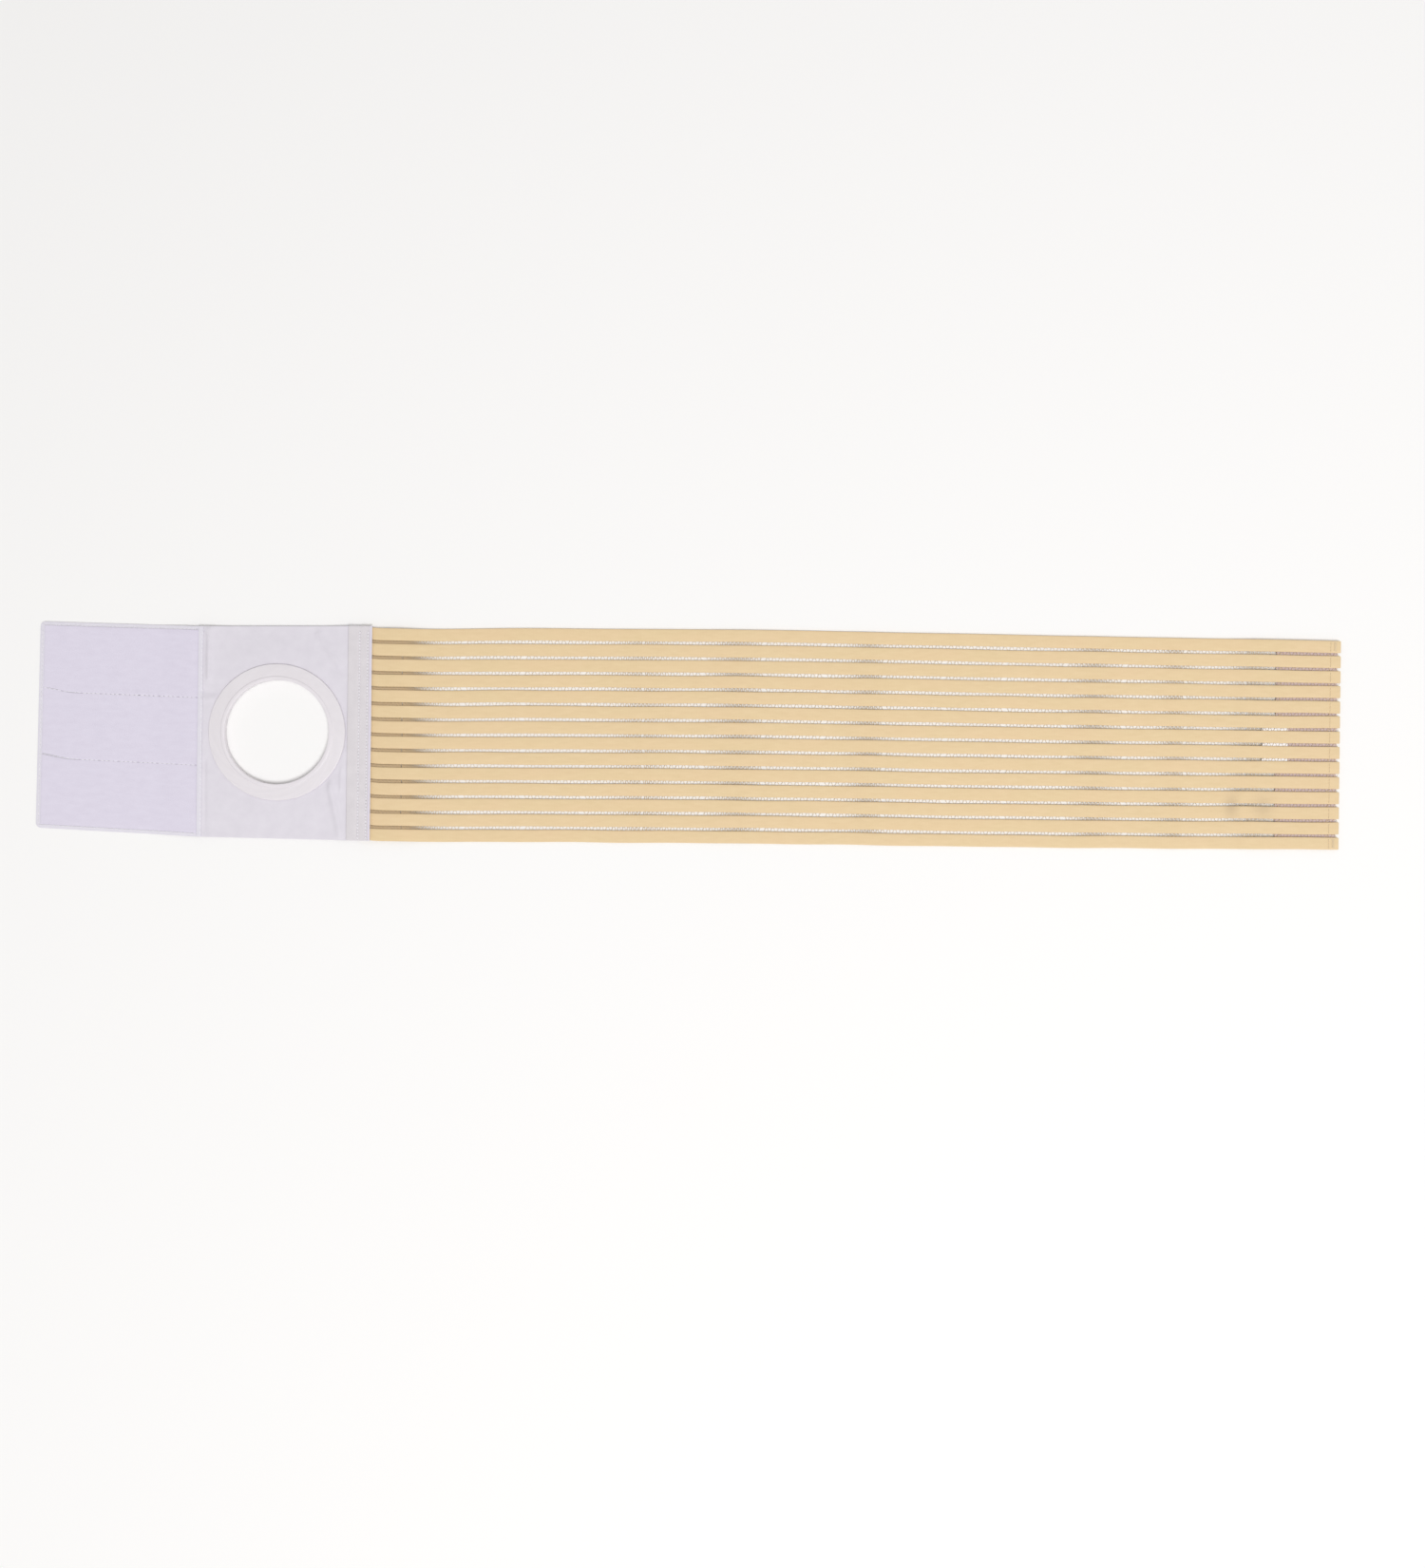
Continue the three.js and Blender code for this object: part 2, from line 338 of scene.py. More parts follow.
def slab(shape, x0, x1, low, high, bottom, thick, step=2.0, corner=0.0, warp=None, edge=None):
    """A closed cloth between x0 and x1, with rounded edges. low, high and bottom are functions."""
    edge = edge or 0.5 * thick
    xs = spread(x1 - x0, step, edge) + x0
    widest = float(high(x0) - low(x0))
    vs = spread(widest, step, edge) / widest
    x, v = np.meshgrid(xs, vs, indexing="ij")
    y = low(x) + v * (high(x) - low(x))
    from_edge = np.minimum(np.minimum(x - x0, x1 - x), np.minimum(y - low(x), high(x) - y))
    half = thick / 2 * np.sqrt(np.clip(1 - (1 - np.clip(from_edge / edge, 0, 1)) ** 2, 0, 1))
    if corner:
        a = np.maximum(corner - (x - x0), 0) / corner
        b = np.maximum(corner - np.minimum(y - low(x), high(x) - y), 0) / corner
        both = (a > 0) & (b > 0)
        upper = y > 0
        na, nb = a * np.sqrt(1 - b * b / 2), b * np.sqrt(1 - a * a / 2)
        x = np.where(both, x0 + corner * (1 - na), x)
        shift = corner * (b - nb)
        y = np.where(both, np.where(upper, y - shift, y + shift), y)
    rest = np.stack([x, y, np.zeros_like(x)], -1)
    middle = bottom(x, y) + thick / 2
    if warp:
        x, y = warp(x, y)
    nx, ny = x.shape
    top = np.stack([x, y, middle + half], -1).reshape(-1, 3)
    low_points = np.stack([x, y, middle - half], -1).reshape(-1, 3)
    inside = np.zeros((nx, ny), bool)
    inside[1:-1, 1:-1] = True
    inside = inside.ravel()
    under = np.arange(nx * ny)
    under[inside] = nx * ny + np.arange(inside.sum())
    faces = []
    for i in range(nx - 1):
        for j in range(ny - 1):
            q = (i * ny + j, (i + 1) * ny + j, (i + 1) * ny + j + 1, i * ny + j + 1)
            faces.append(q)
            faces.append(tuple(int(under[n]) for n in q[::-1]))
    rest = rest.reshape(-1, 3)
    shape.add(np.concatenate([top, low_points[inside]]), faces, np.concatenate([rest, rest[inside]]))


def turned(shape, profile, segments=144):
    """A closed profile of (radius, height) turned round the opening."""
    turn = np.arange(segments) * 2 * math.pi / segments
    rows = [np.stack([RING_X + r * np.cos(turn), r * np.sin(turn), np.full(segments, z)], -1)
            for r, z in profile + profile[:1]]
    places = [np.stack([turn * r, np.full(segments, z), np.full(segments, r)], -1)
              for r, z in profile + profile[:1]]
    n = len(profile)
    faces = [tuple(i % (n * segments) for i in f) for f in ring_faces(n + 1, segments)]
    shape.add(np.concatenate(rows[:-1]), [f[::-1] for f in faces], np.concatenate(places[:-1]))


def rounded(corners, radius=0.3, steps=3):
    """A profile with each corner turned into a short arc."""
    out = []
    n = len(corners)
    for i in range(n):
        before, here, after = (np.array(corners[(i + k) % n], float) for k in (-1, 0, 1))
        back, ahead = before - here, after - here
        cut = min(radius, 0.45 * np.linalg.norm(back), 0.45 * np.linalg.norm(ahead))
        a = here + back / np.linalg.norm(back) * cut
        b = here + ahead / np.linalg.norm(ahead) * cut
        for s in range(steps + 1):
            t = s / steps
            out.append(tuple((1 - t) ** 2 * a + 2 * t * (1 - t) * here + t * t * b))
    return out


def stitches(shape, start, end, height, length=2.7, gap=0.7, radius=0.22, arch=0.22, warp=None):
    """A row of separate little arched threads from start to end."""
    (x0, y0), (x1, y1) = start, end
    reach = math.hypot(x1 - x0, y1 - y0)
    count = max(1, int(reach / (length + gap)))
    for i in range(count):
        a = (i * (length + gap)) / reach
        b = min(1.0, a + length / reach)
        t = np.linspace(a, b, 5)
        x, y = x0 + (x1 - x0) * t, y0 + (y1 - y0) * t
        z = height(x, y) + arch * np.sin(np.linspace(0.12, 0.88, 5) * math.pi)
        if warp:
            x, y = warp(x, y)
        tube(shape, np.stack([x, y, z], -1), radius)


# ---------------------------------------------------------------- materials

def rgb(r, g, b):
    def linear(c):
        c = c / 255
        return c / 12.92 if c <= 0.04045 else ((c + 0.055) / 1.055) ** 2.4
    return (linear(r), linear(g), linear(b), 1.0)


class Finish:
    """A procedural material, patterned by each point's rest place on its cloth."""

    def __init__(self, name, roughness, sheen=0.0, subsurface=0.0):
        self.material = bpy.data.materials.new(name)
        self.material.use_nodes = True
        self.tree = self.material.node_tree
        self.shader = self.tree.nodes["Principled BSDF"]
        self.shader.inputs["Roughness"].default_value = roughness
        self.shader.inputs["Sheen Weight"].default_value = sheen
        self.shader.inputs["Sheen Roughness"].default_value = 0.5
        self.shader.inputs["Subsurface Weight"].default_value = subsurface
        self.shader.inputs["Subsurface Scale"].default_value = 0.002
        self.shader.inputs["Subsurface Radius"].default_value = (1.0, 1.0, 1.0)
        place = self.tree.nodes.new("ShaderNodeAttribute")
        place.attribute_name = "cloth_place"
        self.place = place.outputs["Vector"]
        split = self.tree.nodes.new("ShaderNodeSeparateXYZ")
        self.tree.links.new(self.place, split.inputs[0])
        self.x, self.y, _ = split.outputs
        shade = self.tree.nodes.new("ShaderNodeAttribute")
        shade.attribute_name = "cloth_shade"
        self.shade = shade.outputs["Fac"]

    def math(self, operation, a, b=0.0):
        node = self.tree.nodes.new("ShaderNodeMath")
        node.operation = operation
        for socket, value in zip(node.inputs, (a, b)):
            if isinstance(value, (int, float)):
                socket.default_value = value
            else:
                self.tree.links.new(value, socket)
        return node.outputs[0]

    def wave(self, value, pitch, shift=0.0):
        turn = self.math("MULTIPLY", value, 2 * math.pi / pitch)
        return self.math("SINE", self.math("ADD", turn, shift))

    def noise(self, scale, detail=3.0, stretch=(1, 1, 1)):
        mapping = self.tree.nodes.new("ShaderNodeMapping")
        mapping.inputs["Scale"].default_value = stretch
        self.tree.links.new(self.place, mapping.inputs["Vector"])
        node = self.tree.nodes.new("ShaderNodeTexNoise")
        node.inputs["Scale"].default_value = scale
        node.inputs["Detail"].default_value = detail
        self.tree.links.new(mapping.outputs[0], node.inputs["Vector"])
        return node.outputs["Fac"]

    def mixed(self, a, b, share):
        """Colour a turning into colour b by share. Each colour is a value or a socket."""
        mix = self.tree.nodes.new("ShaderNodeMix")
        mix.data_type = "RGBA"
        factor = next(i for i in mix.inputs if i.identifier == "Factor_Float")
        first = next(i for i in mix.inputs if i.identifier == "A_Color")
        second = next(i for i in mix.inputs if i.identifier == "B_Color")
        for socket, value in ((first, a), (second, b)):
            if isinstance(value, tuple):
                socket.default_value = value
            else:
                self.tree.links.new(value, socket)
        self.tree.links.new(share, factor)
        return next(o for o in mix.outputs if o.identifier == "Result_Color")

    def colour(self, dark, light, share, *tints):
        """dark turning into light by share, then each further (colour, share) over it."""
        found = self.mixed(dark, light, share)
        for tint, tinted in tints:
            found = self.mixed(found, tint, tinted)
        self.tree.links.new(found, self.shader.inputs["Base Color"])

    def bump(self, height, distance, strength=0.6):
        node = self.tree.nodes.new("ShaderNodeBump")
        node.inputs["Strength"].default_value = strength
        node.inputs["Distance"].default_value = distance * MM
        self.tree.links.new(height, node.inputs["Height"])
        self.tree.links.new(node.outputs[0], self.shader.inputs["Normal"])


def blend_of(f, a, b, share):
    """a and b mixed by share, as one value."""
    return f.math("ADD", f.math("MULTIPLY", a, 1 - share), f.math("MULTIPLY", b, share))


def knit_finish():
    """Fine wales along each rib, crossed by the loops' courses."""
    f = Finish("elastic_knit", 0.85, sheen=0.15)
    wale = f.math("ABSOLUTE", f.wave(f.y, 1.56))
    course = f.wave(f.x, 1.1)
    loops = f.math("MULTIPLY", wale, f.math("ADD", f.math("MULTIPLY", course, 0.2), 0.8))
    mottle = f.noise(0.22, 3.0, (0.5, 2.0, 3.7))
    blush = f.math("MULTIPLY", f.noise(0.055, 2.0, (0.4, 1.0, 5.0)), 0.5)
    # The last tint, rgb(176, 152, 124) by cloth_shade, is painted shade on buckled ribs and bunched
    # cross threads.
    f.colour(rgb(211, 186, 140), rgb(238, 217, 175), blend_of(f, loops, mottle, 0.5),
             (rgb(235, 201, 165), blush), (rgb(176, 152, 124), f.shade))
    f.bump(loops, 0.1, 0.4)
    return f.material


def weave_finish(name, dark, light, pitch, roughness=0.85):
    f = Finish(name, roughness, sheen=0.1)
    over = f.math("MULTIPLY", f.wave(f.x, pitch), f.wave(f.y, pitch))
    weave = f.math("ADD", f.math("MULTIPLY", over, 0.5), 0.5)
    mottle = f.noise(0.12, 4.0)
    f.colour(dark, light, blend_of(f, weave, mottle, 0.6))
    f.bump(weave, 0.08)
    return f.material


def loop_finish():
    f = Finish("loop_velour", 0.95, sheen=0.35)
    pile = f.noise(1.6, 4.0)
    nap = f.noise(0.16, 3.0, (0.6, 1.6, 1.0))
    f.colour(rgb(209, 202, 218), rgb(231, 226, 240), blend_of(f, pile, nap, 0.45))
    f.bump(pile, 0.3)
    return f.material


def plastic_finish():
    f = Finish("ring_satin_plastic", 0.35, subsurface=0.15)
    cloud = f.noise(0.09, 3.0)
    f.colour(rgb(222, 217, 221), rgb(234, 229, 233), cloud)
    f.bump(f.noise(1.4, 2.0), 0.02, 0.3)
    return f.material


def hook_finish():
    f = Finish("hook_tape_moulded", 0.6)
    rows = f.math("ABSOLUTE", f.wave(f.y, 2.6))
    f.colour(rgb(190, 169, 168), rgb(215, 196, 195), blend_of(f, rows, f.noise(0.5), 0.5))
    f.bump(rows, 0.1)
    return f.material


def thread_finish(name, dark, light):
    f = Finish(name, 0.6)
    twist = f.math("ABSOLUTE", f.wave(f.math("ADD", f.x, f.math("MULTIPLY", f.y, 2.0)), 1.1))
    f.colour(dark, light, twist)
    f.bump(twist, 0.05)
    return f.material


def label_finish():
    f = Finish("label_satin", 0.45)
    ribbon = f.math("ABSOLUTE", f.wave(f.y, 0.7))
    f.colour(rgb(236, 234, 238), rgb(250, 249, 251), blend_of(f, ribbon, f.noise(0.4), 0.4))
    f.bump(ribbon, 0.03)
    return f.material


def floor_finish():
    f = Finish("pale_floor", 0.9)
    f.colour(rgb(245, 244, 243), rgb(248, 247, 246), f.noise(0.02, 2.0))
    return f.material


ELASTIC = knit_finish()
PANEL = weave_finish("panel_plain_weave", rgb(211, 206, 215), rgb(231, 227, 234), 0.9)
FACING = weave_finish("facing_plain_weave", rgb(206, 201, 205), rgb(228, 223, 226), 0.7)
FACING_EDGE = weave_finish("facing_folded_edge", rgb(209, 203, 216), rgb(229, 224, 235), 0.7)
TAB_CLOTH = weave_finish("tab_border_cloth", rgb(214, 210, 220), rgb(232, 229, 237), 0.8)
LOOP = loop_finish()
PLASTIC = plastic_finish()
HOOK = hook_finish()
THREAD = thread_finish("sewing_thread", rgb(226, 222, 229), rgb(251, 249, 252))
END_THREAD = thread_finish("elastic_thread", rgb(214, 190, 150), rgb(238, 219, 186))
LABEL = label_finish()


# ---------------------------------------------------------------- pieces

def fold_blend(obj):
    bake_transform(obj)


def panel_lines(c, s):
    """The radius of each line round the hole, out to the panel's edge, and its depth in the cloth.

    c and s are the cosines and sines of the directions in which the radii are taken.
    """
    reach_x = np.where(c > 0, PANEL_END - RING_X, RING_X - PANEL_START) / np.maximum(np.abs(c), 1e-9)
    reach_y = cloth_half(RING_X) / np.maximum(np.abs(s), 1e-9)
    reach = np.minimum(reach_x, reach_y)
    edge = CLOTH / 2
    rounding = [0.0, 0.12 * edge, 0.4 * edge]
    flat = HOLE_RADIUS + edge, reach - HOLE_RADIUS - 2 * edge
    lines = [(HOLE_RADIUS + n, n) for n in rounding]
    lines += [(flat[0] + share * flat[1], edge) for share in np.linspace(0, 1, PANEL_ROWS)]
    lines += [(reach - n, n) for n in rounding[::-1]]
    return lines


def make_panel(name, node, bottom):
    """A cloth with a round hole: rows of points run from the hole out to the panel's edge."""
    turn = np.arange(PANEL_SIDES) * 2 * math.pi / PANEL_SIDES
    c, s = np.cos(turn), np.sin(turn)
    half = cloth_half(RING_X)
    edge = CLOTH / 2
    points_x, points_y, halves = [], [], []
    for r, depth in panel_lines(c, s):
        x = RING_X + r * c
        y = r * s
        widening = (cloth_half(x) / half - 1) * smoothstep((np.abs(y) - 45) / 30)
        points_x.append(x)
        points_y.append(y * (1 + widening))
        rounded_off = edge * math.sqrt(max(0.0, 1 - (1 - depth / edge) ** 2))
        halves.append(np.full(PANEL_SIDES, rounded_off))
    x, y, h = np.array(points_x), np.array(points_y), np.array(halves)
    z = bottom - panel_drop(x, y) + panel_swell(x, y) + edge
    count = len(x)
    top = np.stack([x, y, z + h], -1).reshape(-1, 3)
    low = np.stack([x, y, z - h], -1).reshape(-1, 3)
    under = np.arange(count * PANEL_SIDES)
    middle = slice(PANEL_SIDES, (count - 1) * PANEL_SIDES)
    under[middle] = count * PANEL_SIDES + np.arange((count - 2) * PANEL_SIDES)
    upper = ring_faces(count, PANEL_SIDES)
    faces = [f[::-1] for f in upper] + [tuple(int(under[n]) for n in f) for f in upper]
    rest = np.stack([x, y, 0 * x], -1).reshape(-1, 3)
    shape = Shape()
    shape.add(np.concatenate([top, low[middle]]), faces, np.concatenate([rest, rest[middle]]))
    obj = shape.build(name, PANEL)
    fold_blend(obj)
    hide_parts(node)


def make_ring_half(name, node, corners, radius):
    shape = Shape()
    turned(shape, rounded(corners, radius))
    obj = shape.build(name, PLASTIC)
    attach(obj, "ring_panel")
    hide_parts(node)


def make_ring():
    """The front half is collar, flange and lip in one; the back half is a flat flange."""
    collar = [(OPENING_RADIUS, COLLAR_FOOT_Z), (COLLAR_RADIUS, COLLAR_FOOT_Z),
              (COLLAR_RADIUS, FLANGE_UNDER_Z)]
    flange = [(FLANGE_RADIUS - 0.3, FLANGE_UNDER_Z), (FLANGE_RADIUS, FLANGE_UNDER_Z + 0.5),
              (FLANGE_RADIUS - 0.4, FLANGE_TOP_Z)]
    lip = [(LIP_RADIUS + 0.4, FLANGE_TOP_Z), (LIP_RADIUS, LIP_Z), (OPENING_RADIUS, LIP_Z)]
    make_ring_half("ring_front", "stoma_ring_front", collar + flange + lip, 0.45)
    back = [(BACK_HOLE_RADIUS, 0), (BACK_RADIUS - 0.4, 0), (BACK_RADIUS, 0.5),
            (BACK_RADIUS, BACK_TOP_Z), (BACK_HOLE_RADIUS, BACK_TOP_Z)]
    make_ring_half("ring_back", "stoma_ring_back", back, 0.4)


def facing_relief(x, y):
    """The ribs' imprint through the facing, and the dents along its stitch rows."""
    imprint = 0.05 * np.cos(2 * math.pi * y / rib_pitch(-250))
    sewn = -0.26 * (hump(x, FACING_ROW_INNER, 1.0) + hump(x, FACING_ROW_OUTER, 1.0))
    return imprint + sewn


def facing_dip(y):
    """How far the facing sinks towards its two ends."""
    return FACING_DIP * smoothstep((np.abs(y) - 60) / 22)


def facing_top(inset):
    """A height this far below the top of the front facing."""
    return lambda x, y: FACING_Z + FACING_THICK - inset - facing_dip(y)


def make_facing_cloth(name, node, base, sign):
    def level(x, y):
        return base + sign * facing_relief(x, y) - facing_dip(y)

    shape = Shape()
    slab(shape, FACING_START, FACING_END, always(-FACING_HALF), always(FACING_HALF), level,
         FACING_THICK, 0.8, edge=1.3)
    obj = shape.build(name, FACING)
    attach(obj, "ring_panel")
    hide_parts(node)
    return obj


def make_facing():
    front = make_facing_cloth("facing_cloth_front", "facing_front", FACING_Z, 1)
    back = make_facing_cloth("facing_cloth_back", "facing_back", FACING_BACK_Z, -1)
    shape = Shape()
    slab(shape, FACING_EDGE_START, FACING_EDGE_END, always(-FACING_HALF), always(FACING_HALF),
         facing_top(0.12), FACING_EDGE_THICK, 1.0)
    folded = shape.build("facing_edge", FACING_EDGE)
    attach(folded, "ring_panel")
    row_half = FACING_HALF - 1.5
    for part, x in (("inner", FACING_ROW_INNER), ("outer", FACING_ROW_OUTER)):
        shape = Shape()
        ends = (x, -row_half), (x, row_half)
        stitches(shape, *ends, facing_top(0.1), length=1.6, gap=0.9, radius=0.46, arch=0.35)
        stitches(shape, *ends, always(FACING_BACK_Z + 0.1), arch=-0.2)
        obj = shape.build("facing_thread_" + part, THREAD)
        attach(obj, "ring_panel")
        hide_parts("facing_stitch_" + part)


def tab_under(x, y):
    """Height of the underside of the tab's backing."""
    return BACK_Z - tab_drop(x) + tab_swell(x, y)


def loops_under(x, y):
    return tab_under(x, y) + LOOP_BASE + seam_ripple(x, y)


def seam_sewn(x, y):
    """Where the threads of the tab's two seams lie, sunk into the loop strips."""
    return loops_under(x, y) + LOOP_THICK - 0.3


def border_sewn(x, y):
    return tab_under(x, y) + CLOTH + 0.05


def hem_under(x, y):
    return FRONT_Z + CLOTH - panel_drop(x, y) + panel_swell(x, y) + 0.25


def fold_sewn(x, y):
    return hem_under(x, y) + 0.35


def inner_half(x):
    """Half the width that the three loop strips cover."""
    return cloth_half(x) - BORDER


def strip_edge(number, side):
    """Edge number 0 to 3 of the loop strips, counted from below, kept off its seam on one side."""
    def edge(x):
        seam = -inner_half(x) + 2 * inner_half(x) * number / 3
        if number in (0, 3):
            return seam
        opened = 0.45 * hump(x, -487, 11) if number == 1 else 0
        return seam + seam_shift(x) + side * (SEAM_GAP / 2 + opened)

    return edge


def make_backing():
    shape = Shape()
    slab(shape, TAB_LEFT, TAB_END, lambda x: -cloth_half(x), cloth_half, tab_under, CLOTH, 1.2,
         corner=4.0, warp=turn_tab)
    backing = shape.build("tab_backing_cloth", TAB_CLOTH)
    fold_blend(backing)
    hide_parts("tab_backing")
    return backing


def make_loop_strips():
    for number, part in enumerate(("lower", "middle", "upper")):
        shape = Shape()
        slab(shape, TAB_LEFT + 3.5, TAB_END - 0.2, strip_edge(number, 1),
             strip_edge(number + 1, -1), loops_under, LOOP_THICK, 1.2, warp=turn_tab, edge=0.8)
        obj = shape.build("loop_cloth_" + part, LOOP)
        fold_blend(obj)
        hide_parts("loop_strip_" + part)


def make_tab_seams():
    stops = np.linspace(TAB_LEFT + 4, TAB_END - 1.4, 9)
    for part, side in (("lower", -1), ("upper", 1)):
        shape = Shape()
        row = list(zip(stops, side * inner_half(stops) / 3 + seam_shift(stops)))
        for start, end in zip(row, row[1:]):
            stitches(shape, start, end, seam_sewn, arch=0.1, warp=turn_tab)
        obj = shape.build("tab_thread_" + part, THREAD)
        fold_blend(obj)
        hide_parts("tab_stitch_" + part)


def make_border_stitch():
    shape = Shape()
    left, right = TAB_LEFT + 2.1, TAB_END - 0.5
    for side in (-1, 1):
        ends = [(x, side * (cloth_half(x) - 2.4)) for x in (left, right)]
        stitches(shape, *ends, border_sewn, warp=turn_tab)
    rim = cloth_half(left) - 3.2
    stitches(shape, (left, -rim), (left, rim), border_sewn, warp=turn_tab)
    obj = shape.build("tab_thread_border", THREAD)
    fold_blend(obj)
    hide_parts("tab_border_stitch")


def make_fold():
    """The hem over the fold and the row of stitches that holds it."""
    shape = Shape()
    slab(shape, HEM_START, HEM_END, lambda x: 0.2 - cloth_half(x), lambda x: cloth_half(x) - 0.2,
         hem_under, HEM_THICK, 1.0)
    hem = shape.build("fold_hem", TAB_CLOTH)
    fold_blend(hem)
    shape = Shape()
    stitches(shape, (FOLD_ROW, -78.5), (FOLD_ROW, 78.5), fold_sewn, arch=0.1)
    obj = shape.build("fold_thread", THREAD)
    fold_blend(obj)
    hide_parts("fold_stitch")


def make_tab():
    backing = make_backing()
    make_loop_strips()
    make_tab_seams()
    make_border_stitch()
    make_fold()


def band_blend(obj):
    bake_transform(obj)


def painted_crease_shade(x, y):
    """Painted shade: the ribs darkened where the elastic buckles beside the hook patch, standing in
    for the folds' shade.
    """
    across = hump(y, -48, 8)
    return 0.42 * across * (hump(x, 417, 5) + 0.8 * hump(x, 441, 8))


def rib(shape, number, x0, x1):
    """One rib between x0 and x1: flat with rounded edges, and rounded off at the belt's end."""
    xs = np.concatenate([[x0], np.linspace(x0 + CAP_RIM, x1 - CAP_RIM, 15), [x1]])
    if x1 >= END_X:
        tip = END_X - np.array([2.0, 1.2, 0.6, 0.2, 0.0])
        xs = np.concatenate([[x0], np.linspace(x0 + CAP_RIM, END_X - 3, 22), tip])
    sides = 20
    turn = np.arange(sides) * 2 * math.pi / sides
    across = np.sign(np.cos(turn)) * np.sqrt(np.abs(np.cos(turn)))
    over = np.sign(np.sin(turn)) * np.sqrt(np.abs(np.sin(turn)))
    x = xs[:, None]
    tip = np.sqrt(np.clip(1 - np.clip((x - (END_X - 1.6)) / 1.62, 0, 1) ** 2, 0.02, 1))
    v = across[None] * RIB_WIDTH / 2 * (0.93 + 0.07 * tip)
    y = rib_middle(number, x) + v
    thick = RIB_THICK * (0.65 + 0.35 * smoothstep((x + 248) / 6))
    z = rib_under(number, x) + thick / 2 * (1 + over[None] * tip)
    points = np.stack(np.broadcast_arrays(x, y, z), -1).reshape(-1, 3)
    girth = np.where(over >= 0, v, v + 40)
    places = np.stack(np.broadcast_arrays(x, girth, number * 9.0), -1).reshape(-1, 3)
    side_faces = ring_faces(len(xs), sides)
    last = (len(xs) - 1) * sides
    caps = [tuple(range(sides))[::-1], tuple(range(last, last + sides))]
    faces = [f[::-1] for f in side_faces] + [c[::-1] for c in caps]
    # shade here is painted shade on the ribs beside the hook patch
    shape.add(points, faces, places, flat=(len(side_faces), len(side_faces) + 1),
              shade=painted_crease_shade(points[:, 0], points[:, 1]))


def bunching_and_gap_shade(x):
    """How closely the cross threads lie, and how much painted shade darkens them: 1 where the band
    is sewn in or stands off the surface.
    """
    sewn_in = 1 - smoothstep((x + 222) / 44)
    lifted = max(0.55 * float(hump(x, place, 0.8 * reach)) for place, reach, _, _ in LIFTS)
    return max(float(sewn_in), lifted)


def tie_places(number):
    """Where along the belt the threads cross gap number."""
    x, places = -251 + 0.17 * number, []
    while x < END_X - 2:
        places.append(x)
        x += 2.6 - 2.1 * bunching_and_gap_shade(x)
    return places


TIES = [tie_places(number) for number in range(RIBS - 1)]


def ties(shape, x0, x1):
    """The fine cross threads that zigzag over each gap between two ribs."""
    for number, places in enumerate(TIES):
        for i, x in enumerate(places):
            close = bunching_and_gap_shade(x)
            reach = 1.6 - 1.25 * close
            if x < x0 + 0.05 or x + reach > x1 - 0.05:
                continue
            ends = [x, x + reach] if i % 2 else [x + reach, x]
            line = []
            for t in (0.0, 0.5, 1.0):
                along = ends[0] + (ends[1] - ends[0]) * t
                low = rib_middle(number, along) + RIB_WIDTH / 2 - 0.3
                high = rib_middle(number + 1, along) - RIB_WIDTH / 2 + 0.3
                under = (1 - t) * rib_under(number, along) + t * rib_under(number + 1, along)
                line.append((along, low + (high - low) * t, under + 0.5))
            # The last argument is painted shade: the ties darken where they bunch, standing in for
            # the shaded gaps.
            tube(shape, line, 0.14 + 0.12 * close, 4, 0.5 * close)


def make_band():
    for k in range(SECTIONS + 1):
        x0 = -253.0 if k == 0 else WRAP_X + SECTION * (k - 0.5)
        x1 = END_X if k == SECTIONS else WRAP_X + SECTION * (k + 0.5)
        node = ("elastic_inset" if k == 0 else f"elastic_section_{k:02d}")
        shape = Shape()
        for number in range(RIBS):
            rib(shape, number, x0, x1)
        obj = shape.build(f"band_{k:02d}", ELASTIC)
        band_blend(obj)
        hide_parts(node, *(["elastic_end"] if k == SECTIONS else []))
        shape = Shape()
        ties(shape, x0, x1)
        band_blend(shape.build(f"band_ties_{k:02d}", ELASTIC))


def in_gap(x, y):
    """1 in the middle of a gap between two ribs, 0 under the ribs."""
    across = y - hump(x, 60, 150)
    return np.clip((np.cos(2 * math.pi * across / rib_pitch(x)) - 0.72) / 0.28, 0, 1) ** 0.7


def make_patch():
    shape = Shape()
    slab(shape, PATCH_START, PATCH_END, always(-PATCH_HALF), always(PATCH_HALF), always(PATCH_Z),
         PATCH_THICK, 2.5)
    patch = shape.build("hook_tape", HOOK)
    band_blend(patch)
    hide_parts("hook_patch")


def make_hooks():
    """Rows of small hooks under the patch, turned one way and the other by turns."""
    shape = Shape()
    bend = np.linspace(0, 1, 5) * 2.4
    for row, y in enumerate(np.arange(-77.5, 78, 2.6)):
        way = 1 if row % 2 else -1
        for x in np.arange(PATCH_START + 2 + (row % 2), PATCH_END - 2, 2.0):
            hook_x = x + way * 0.5 * np.sin(bend)
            hook_z = PATCH_Z - 0.52 * np.sin(bend) ** 0.8
            tube(shape, np.stack([hook_x, np.full(5, y), hook_z + 0.03], -1), 0.09, 4)
    band_blend(shape.build("hook_pile", HOOK))


def label_under(x, y):
    return LABEL_Z + 0.4 * in_gap(x, y)


def make_label():
    shape = Shape()
    slab(shape, LABEL_START, LABEL_END, always(-LABEL_HALF), always(LABEL_HALF), label_under,
         LABEL_THICK, 0.45)
    label = shape.build("size_ribbon", LABEL)
    band_blend(label)
    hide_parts("size_label")


def rib_top(number, sunk):
    """A height this far below the top of a rib."""
    return lambda x, y: rib_under(number, x) + RIB_THICK - sunk


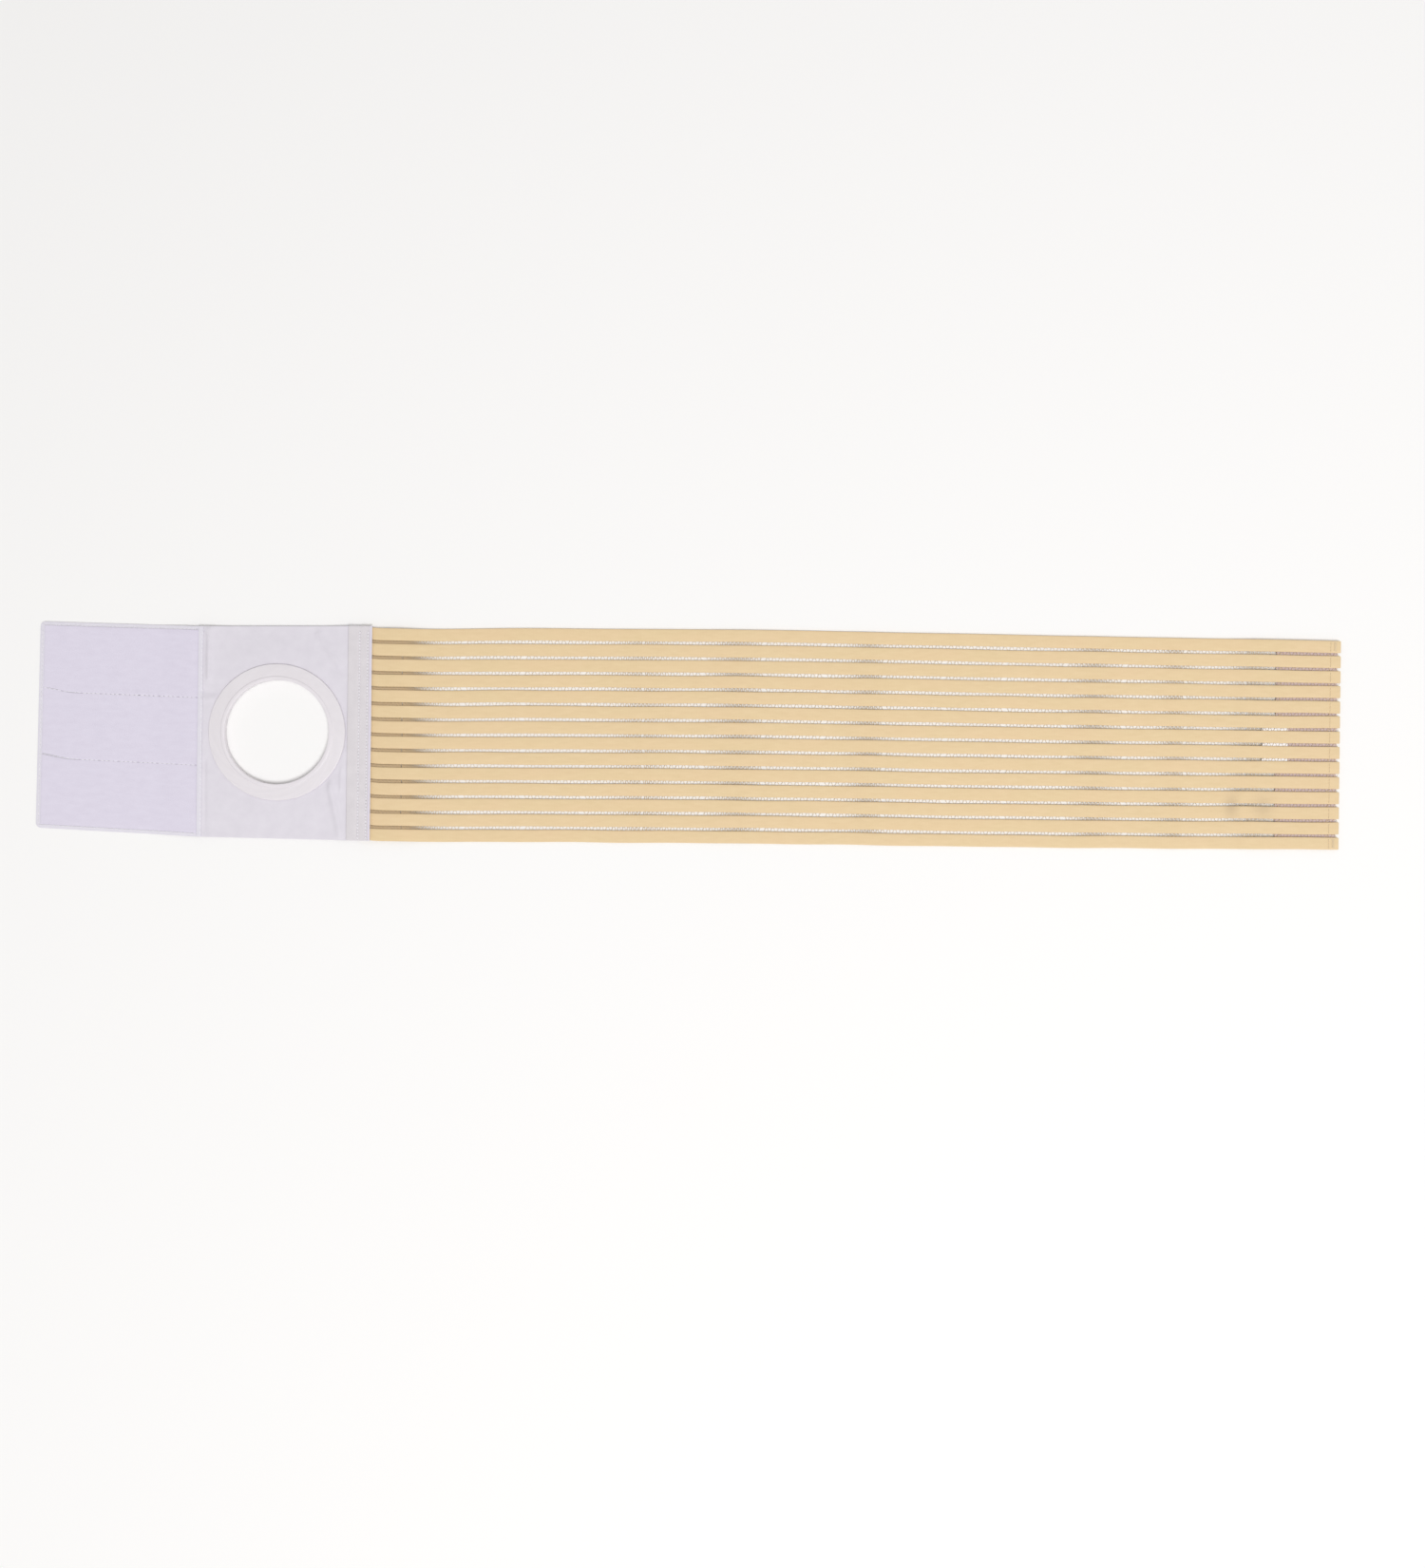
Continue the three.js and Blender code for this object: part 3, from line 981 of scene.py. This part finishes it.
def make_end_rows():
    """The inner row shows only in the gaps, on the hook patch, and the outer one on the ribs too."""
    tape_top = always(PATCH_Z + PATCH_THICK - 0.02)
    for part, x in (("inner", END_ROW_INNER), ("outer", END_ROW_OUTER)):
        shape = Shape()
        for number in range(RIBS):
            middle = float(rib_middle(number, x))
            if part == "outer":
                ends = (x, middle - 3.9), (x, middle + 3.9)
                stitches(shape, *ends, rib_top(number, 0.06), 2.0, 0.5)
            if number < RIBS - 1:
                ends = (x - 1.4, middle + 5.1), (x + 1.4, middle + 6.7)
                stitches(shape, *ends, tape_top, 2.6, 0.4)
        obj = shape.build("end_thread_" + part, END_THREAD)
        band_blend(obj)
        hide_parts("end_stitch_" + part)


def make_bar_tacks():
    """Close zigzags across the ends of the lowest and the highest rib."""
    for part, number in (("lower", 0), ("upper", RIBS - 1)):
        shape = Shape()
        middle = float(rib_middle(number, TACK_X))
        for i, y in enumerate(np.arange(-3.2, 3.3, 0.45)):
            skew = 0.25 if i % 2 else -0.25
            ends = (TACK_X - 0.6, middle + y - skew), (TACK_X + 1.6, middle + y + skew)
            stitches(shape, *ends, rib_top(number, 0.05), 2.2, 0.1, arch=0.15)
        obj = shape.build("bar_tack_thread_" + part, END_THREAD)
        band_blend(obj)
        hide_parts("bar_tack_" + part)


# ---------------------------------------------------------------- studio

def make_studio():
    bpy.ops.mesh.primitive_plane_add(size=40, location=(0, 0, -0.00002))
    floor = bpy.context.object
    floor.name = "floor"
    floor.data.materials.append(floor_finish())

    camera = bpy.data.objects.new("camera", bpy.data.cameras.new("camera"))
    bpy.context.scene.collection.objects.link(camera)
    camera.data.lens = 29.87
    camera.data.sensor_width = 36
    camera.location = (0.0179, -0.0357, 1.003)
    camera.rotation_euler = (0, 0, math.radians(0.70))
    bpy.context.scene.camera = camera

    for name, place, size, power in (("key", (0.95, -1.4, 3.85), 1.6, 105),
                                     ("fill", (-1.4, 2.2, 3.6), 3.5, 8)):
        light = bpy.data.lights.new(name, "AREA")
        light.size = size
        light.energy = power
        lamp = bpy.data.objects.new(name, light)
        lamp.location = place
        to_belt = -lamp.location
        lamp.rotation_mode = "QUATERNION"
        lamp.rotation_quaternion = to_belt.to_track_quat("-Z", "Y")
        bpy.context.scene.collection.objects.link(lamp)

    world = bpy.data.worlds.new("studio")
    world.use_nodes = True
    world.node_tree.nodes["Background"].inputs["Color"].default_value = (1, 0.995, 0.99, 1)
    world.node_tree.nodes["Background"].inputs["Strength"].default_value = 0.5
    bpy.context.scene.world = world
    bpy.context.scene.view_settings.view_transform = "Standard"


make_studio()
make_panel("panel_cloth_front", "panel_front_fabric", FRONT_Z)
make_panel("panel_cloth_back", "panel_back_fabric", BACK_Z)
make_ring()
make_facing()
make_tab()
make_band()
make_patch()
make_hooks()
make_label()
make_end_rows()
make_bar_tacks()
